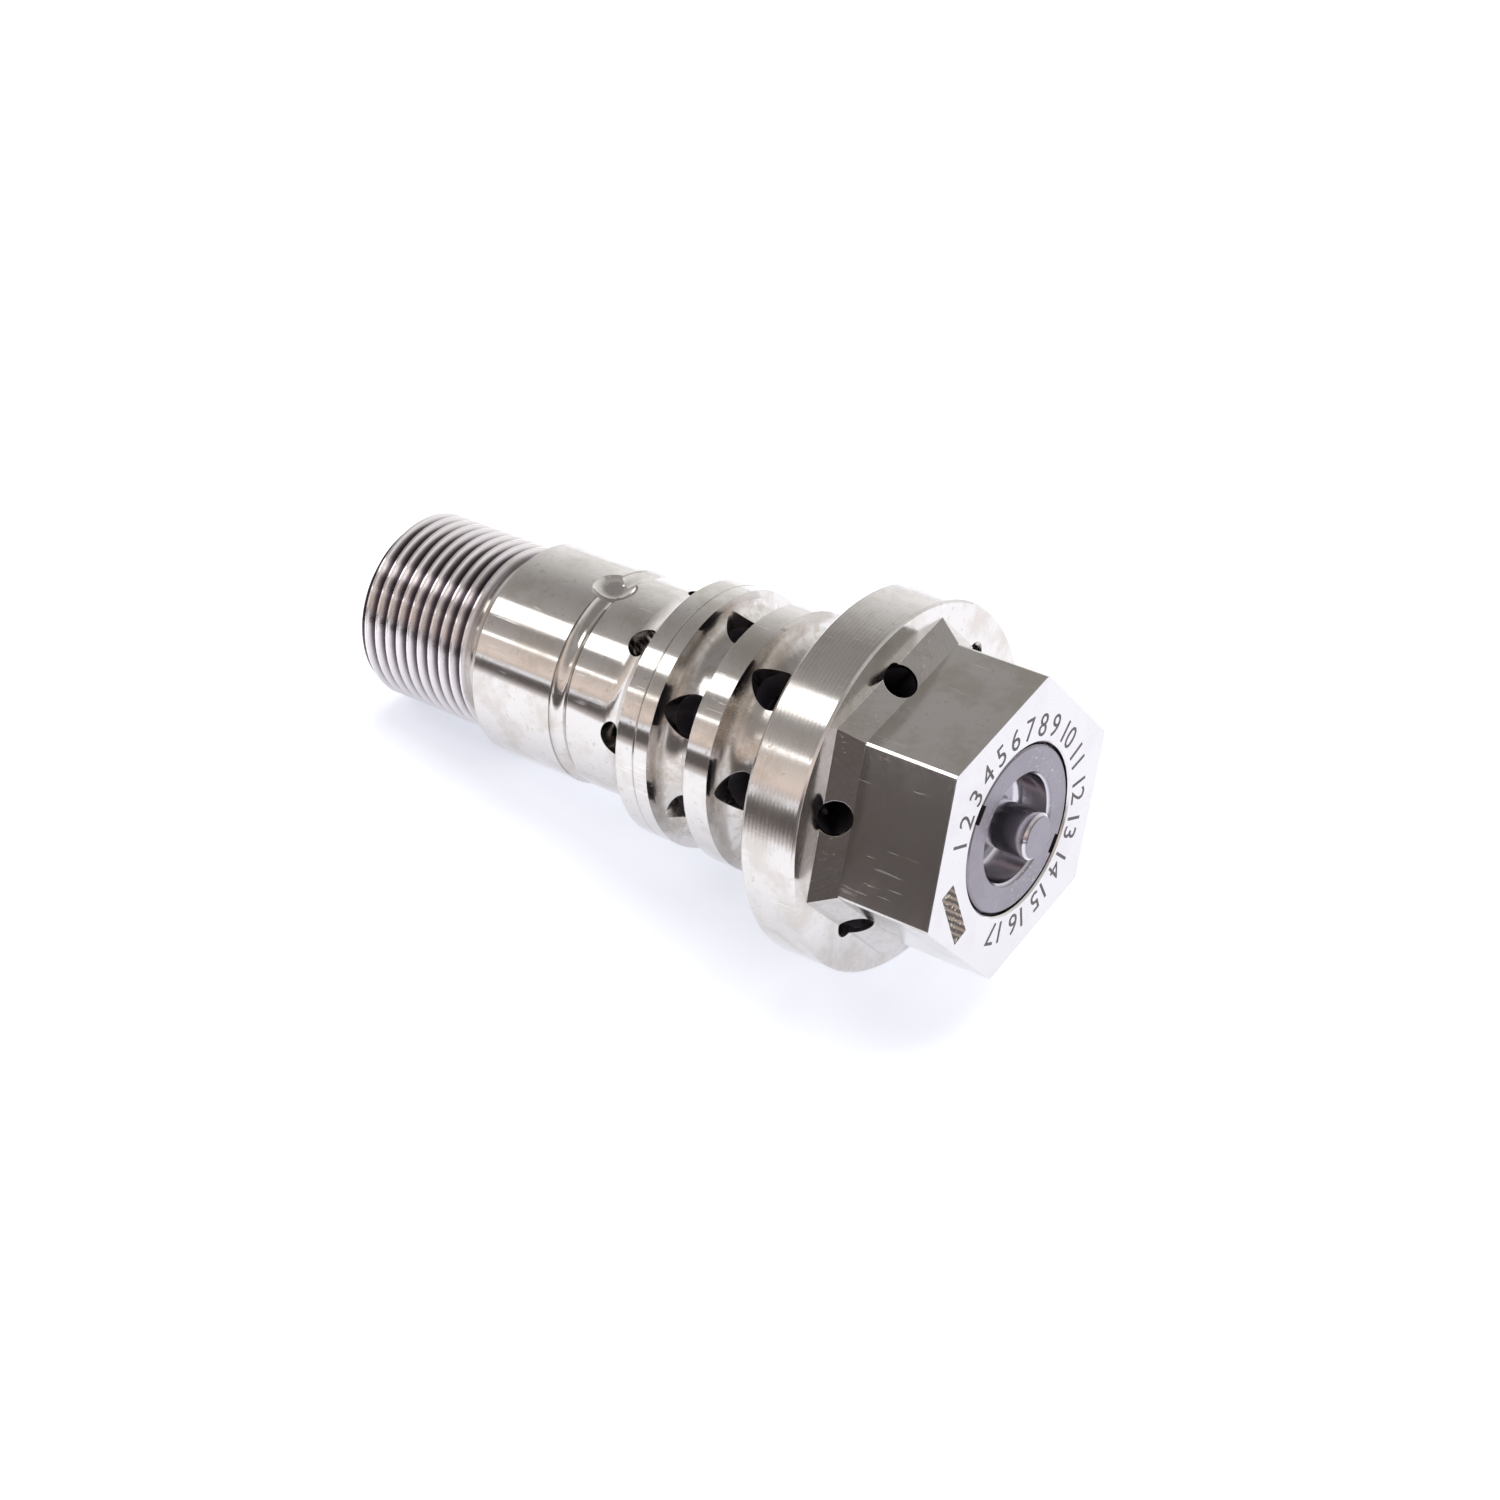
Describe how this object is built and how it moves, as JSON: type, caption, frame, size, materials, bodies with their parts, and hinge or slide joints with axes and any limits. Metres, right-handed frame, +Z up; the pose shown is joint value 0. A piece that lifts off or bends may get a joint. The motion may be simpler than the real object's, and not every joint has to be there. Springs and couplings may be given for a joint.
{
  "type": "cartridge valve",
  "caption": "Screw-in hydraulic cartridge valve: flanged hexagon head, ported grooves, threaded nose, dished gland with a press-in stem.",
  "frame": {"origin": "centre of the flange's rear face, which seats on the manifold", "axes": "+X along the valve's axis towards the hexagon head, +Z up with the valve lying on its side"},
  "size_m": [0.1063, 0.051, 0.051],
  "materials": {
    "body_steel": "turned and milled stainless steel, bright, fine lathe marks",
    "gland_steel": "turned stainless steel, satin face",
    "stem_steel": "ground stainless steel",
    "spool_steel": "ground and lapped stainless steel",
    "sleeve_steel": "turned stainless steel",
    "plug_steel": "turned stainless steel",
    "spring_steel": "drawn stainless spring wire",
    "ball_steel": "polished bearing ball",
    "seal_rubber": "black nitrile rubber",
    "backup_plastic": "off-white low-friction plastic"
  },
  "bodies": {
    "housing": {"valve_body": "body_steel", "gland_nut": "gland_steel", "gland_oring": "seal_rubber", "gland_backup": "backup_plastic", "stem_oring": "seal_rubber", "stem_backup": "backup_plastic", "stem_wiper": "backup_plastic", "sleeve": "sleeve_steel", "sleeve_orings": "seal_rubber", "sleeve_backups": "backup_plastic", "vent_cage": "sleeve_steel", "pilot_liner": "sleeve_steel", "liner_oring": "seal_rubber", "return_spring": "spring_steel", "spring_seat": "sleeve_steel", "preload_shims": "sleeve_steel", "nose_plug": "plug_steel", "plug_oring": "seal_rubber", "plug_backup": "backup_plastic", "retaining_ring": "spring_steel", "check_spring": "spring_steel", "check_disc": "sleeve_steel"},
    "stem": {"override_stem": "stem_steel"},
    "spool": {"spool": "spool_steel", "pilot_piston": "spool_steel", "piston_oring": "seal_rubber", "spring_guide": "spool_steel"},
    "ball": {"check_ball": "ball_steel"}
  },
  "joints": [
    {"name": "spool_slide", "type": "slide", "parent": "housing", "child": "spool", "axis": [-1, 0, 0], "range_m": [0, 0.003], "stiffness_N_per_m": 3900, "springref_m": -0.004, "deforming": ["return_spring"]},
    {"name": "stem_press", "type": "slide", "parent": "housing", "child": "stem", "axis": [-1, 0, 0], "range_m": [0, 0.003]},
    {"name": "check_lift", "type": "slide", "parent": "housing", "child": "ball", "axis": [1, 0, 0], "range_m": [0, 0.001], "stiffness_N_per_m": 900, "springref_m": -0.001, "deforming": ["check_spring"]}
  ],
  "couplings": [
    {"joint": "stem_press", "follows": "spool_slide", "ratio": 1}
  ]
}
